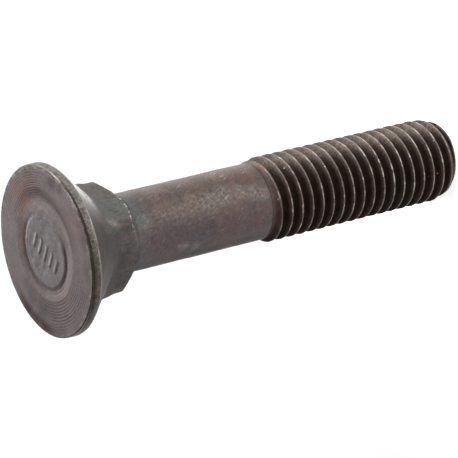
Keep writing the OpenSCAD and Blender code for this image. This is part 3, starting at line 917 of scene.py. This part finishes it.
    # bright pinpoints where the thread was nicked
    dot = g.tree.nodes.new("ShaderNodeTexVoronoi")
    dot.inputs["Scale"].default_value = 1.5
    g.put(p, dot.inputs["Vector"])
    lot = g.tree.nodes.new("ShaderNodeSeparateColor")
    g.put(dot.outputs["Color"], lot.inputs[0])
    pin = g.math("MULTIPLY", g.remap(dot.outputs["Distance"], 0.20, 0.10), g.remap(lot.outputs[0], 0.972, 0.978))
    pin = g.math("MULTIPLY", pin, g.remap(zone, 0.76, 0.84))
    col = g.mix(g.math("MULTIPLY", pin, 0.85), col, (0.50, 0.47, 0.43))

    # worn edges, and painted highlights laid on with the same wear mark
    edge = g.math("MULTIPLY", wear, g.remap(small, 0.34, 0.62, 0.30, 1.0), clamp=True)
    col = g.mix(g.math("MULTIPLY", edge, 0.75), col, (0.440, 0.410, 0.385))
    # where the wear mark runs above one the colour goes near white: bare steel, and the painted glare on the cone and
    # the neck's edge
    bare_and_glare = g.math("MULTIPLY", g.remap(wear, 1.0, 1.6), g.math("MULTIPLY", g.remap(small, 0.34, 0.60, 0.35, 1.0), g.remap(on_thread, 1.0, 0.15)))
    col = g.mix(g.math("MULTIPLY", bare_and_glare, 0.85), col, (0.760, 0.725, 0.680))
    g.put(col, g.bsdf.inputs["Base Color"])

    rough = g.math("ADD", 0.46, g.remap(mid, 0.25, 0.75, -0.07, 0.07))
    rough = g.math("ADD", rough, g.remap(small, 0.25, 0.75, -0.06, 0.06))
    rough = g.math("SUBTRACT", rough, g.math("MULTIPLY", on_land, 0.12))
    on_neck = g.math("MULTIPLY", g.remap(zone, 0.42, 0.48), g.remap(zone, 0.68, 0.62))
    on_cone = g.math("MULTIPLY", g.math("MULTIPLY", on_neck, g.remap(radius, 7.8, 9.6)), g.remap(y, -3.9, -1.2))
    rough = g.math("ADD", rough, g.math("MULTIPLY", on_neck, 0.07))
    rough = g.math("ADD", rough, g.math("MULTIPLY", on_cone, -0.26))
    rough = g.math("ADD", rough, g.math("MULTIPLY", hollow, 0.18))
    rough = g.math("SUBTRACT", rough, g.math("MULTIPLY", edge, 0.12))
    rough = g.math("ADD", rough, g.math("MULTIPLY", brown, 0.07), clamp=True)
    g.put(rough, g.bsdf.inputs["Roughness"])

    metal = g.math("ADD", 0.55, g.math("MULTIPLY", edge, 0.35))
    metal = g.math("ADD", metal, g.math("MULTIPLY", on_cone, 0.2))
    metal = g.math("SUBTRACT", metal, g.math("MULTIPLY", hollow, 0.35))
    metal = g.math("SUBTRACT", metal, g.math("MULTIPLY", brown, 0.15), clamp=True)
    # where the tone mark paints the steel darker (painted shade) it also shines less at a low angle
    dull = g.remap(g.attr("tone"), 1.0, 0.72)
    metal = g.math("ADD", metal, g.math("MULTIPLY", dull, 0.30), clamp=True)
    g.put(metal, g.bsdf.inputs["Metallic"])
    g.put(g.lerp(dull, 1.0, 0.25), g.bsdf.inputs["Specular Tint"])
    shine = g.math("MULTIPLY", g.math("SUBTRACT", 1.0, g.math("MULTIPLY", hollow, 0.85)), 0.30)
    g.put(shine, g.bsdf.inputs["Specular IOR Level"])

    h = g.math("ADD", g.math("MULTIPLY", small, 0.55), g.math("MULTIPLY", grain, 0.28))
    h = g.math("ADD", h, g.math("MULTIPLY", mid, 0.60))
    h = g.math("SUBTRACT", h, g.math("MULTIPLY", scuff, 0.25))
    bump = g.tree.nodes.new("ShaderNodeBump")
    bump.inputs["Strength"].default_value = 0.75
    bump.inputs["Distance"].default_value = 0.00005
    g.put(h, bump.inputs["Height"])
    g.put(bump.outputs[0], g.bsdf.inputs["Normal"])
    return g.mat


body.data.materials.append(steel_material())
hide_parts("bolt")
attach(body, "root")


# --------------------------------------------------------------------------
# Plain pale floor that rises to a low wall far round the bolt
# --------------------------------------------------------------------------
FLOOR_FAR, FLOOR_GLOW, BASE_GLOW, WALL_GLOW = 0.50, 0.08, 0.65, 0.20


def make_floor():
    rings = [(0.0, 0.0), (0.4, 0.0), (0.9, 0.0), (1.5, 0.0)]
    bend = 0.5
    rings += [(1.5 + bend * math.sin(a), bend * (1 - math.cos(a))) for a in np.linspace(0, math.pi / 2, 13)[1:]]
    rings.append((2.0, 0.9))
    n = 96
    vs, fs = [(0.0, 0.0, -LENGTH * MM)], []
    for r, h in rings[1:]:
        for j in range(n):
            t = 2 * math.pi * j / n
            vs.append((r * math.cos(t), r * math.sin(t), h - LENGTH * MM))
    for j in range(n):
        fs.append((0, 1 + j, 1 + (j + 1) % n))
    for i in range(len(rings) - 2):
        a, b = 1 + i * n, 1 + (i + 1) * n
        for j in range(n):
            k = (j + 1) % n
            fs.append((a + j, b + j, b + k, a + k))
    m = bpy.data.meshes.new("floor")
    m.from_pydata(vs, [], fs)
    m.shade_smooth()
    ob = bpy.data.objects.new("floor", m)
    SCENE.collection.objects.link(ob)
    mat = bpy.data.materials.new("floor_white")
    mat.use_nodes = True
    nt = mat.node_tree
    b = nt.nodes["Principled BSDF"]
    b.inputs["Roughness"].default_value = 0.95
    b.inputs["Specular IOR Level"].default_value = 0.1
    # white round the bolt, going over to a pale grey further out
    place = nt.nodes.new("ShaderNodeTexCoord")
    flat = nt.nodes.new("ShaderNodeVectorMath")
    flat.operation = "MULTIPLY"
    flat.inputs[1].default_value = (1.0, 1.0, 0.0)
    nt.links.new(place.outputs["Object"], flat.inputs[0])
    far = nt.nodes.new("ShaderNodeVectorMath")
    far.operation = "LENGTH"
    nt.links.new(flat.outputs[0], far.inputs[0])
    tone = nt.nodes.new("ShaderNodeMapRange")
    tone.interpolation_type = "SMOOTHSTEP"
    for i, v in enumerate((0.16, 0.75, 0.93, FLOOR_FAR)):
        tone.inputs[i + 1].default_value = v
    nt.links.new(far.outputs["Value"], tone.inputs[0])
    nt.links.new(tone.outputs[0], b.inputs["Base Color"])
    # the floor glows, though it is no lamp: faintly round the bolt, strongly at its foot where the bolt's shadow falls,
    # and on the wall: painted light
    glow = nt.nodes.new("ShaderNodeMapRange")
    glow.interpolation_type = "SMOOTHSTEP"
    for i, v in enumerate((0.16, 0.60, FLOOR_GLOW, 0.0)):
        glow.inputs[i + 1].default_value = v
    nt.links.new(far.outputs["Value"], glow.inputs[0])
    near = nt.nodes.new("ShaderNodeMapRange")
    near.interpolation_type = "SMOOTHSTEP"
    for i, v in enumerate((0.010, 0.055, BASE_GLOW, 0.0)):
        near.inputs[i + 1].default_value = v
    nt.links.new(far.outputs["Value"], near.inputs[0])
    wall = nt.nodes.new("ShaderNodeMapRange")
    wall.interpolation_type = "SMOOTHSTEP"
    for i, v in enumerate((0.80, 1.50, 0.0, WALL_GLOW)):
        wall.inputs[i + 1].default_value = v
    nt.links.new(far.outputs["Value"], wall.inputs[0])
    both = nt.nodes.new("ShaderNodeMath")
    nt.links.new(glow.outputs[0], both.inputs[0])
    nt.links.new(near.outputs[0], both.inputs[1])
    every = nt.nodes.new("ShaderNodeMath")
    nt.links.new(both.outputs[0], every.inputs[0])
    nt.links.new(wall.outputs[0], every.inputs[1])
    b.inputs["Emission Color"].default_value = (1, 1, 1, 1)
    nt.links.new(every.outputs[0], b.inputs["Emission Strength"])
    m.materials.append(mat)
    return ob


floor = make_floor()


# --------------------------------------------------------------------------
# Soft studio light
# --------------------------------------------------------------------------
def soft_light(name, azimuth, height, distance, size, power):
    a, e = math.radians(azimuth), math.radians(height)
    aim = Vector((0, 0, -0.03))
    lamp = bpy.data.lights.new(name, "AREA")
    lamp.shape = "DISK"
    lamp.size = size
    lamp.energy = power
    ob = bpy.data.objects.new(name, lamp)
    SCENE.collection.objects.link(ob)
    ob.location = aim + Vector((math.cos(a) * math.cos(e), math.sin(a) * math.cos(e), math.sin(e))) * distance
    ob.rotation_euler = (aim - ob.location).to_track_quat("-Z", "Y").to_euler()
    ob.visible_camera = False
    return ob


LIGHTS = [
    ("key_a", 12, 25, 1.2, 0.7, 9.2),
    ("key_b", 54, 21, 1.2, 0.7, 11.0),
    ("high", 60, 58, 1.2, 0.6, 4.5),
    ("back", 118, 12, 1.2, 0.5, 4.0),
    ("fill", -40, 14, 1.2, 0.6, 3.0),
]
for row in LIGHTS:
    soft_light(*row)

world = bpy.data.worlds.new("World")
world.use_nodes = True
world.node_tree.nodes["Background"].inputs[0].default_value = (1, 1, 1, 1)
world.node_tree.nodes["Background"].inputs[1].default_value = 0.20
SCENE.world = world
SCENE.view_settings.view_transform = "Standard"
SCENE.view_settings.look = "None"
SCENE.view_settings.exposure = 0.0
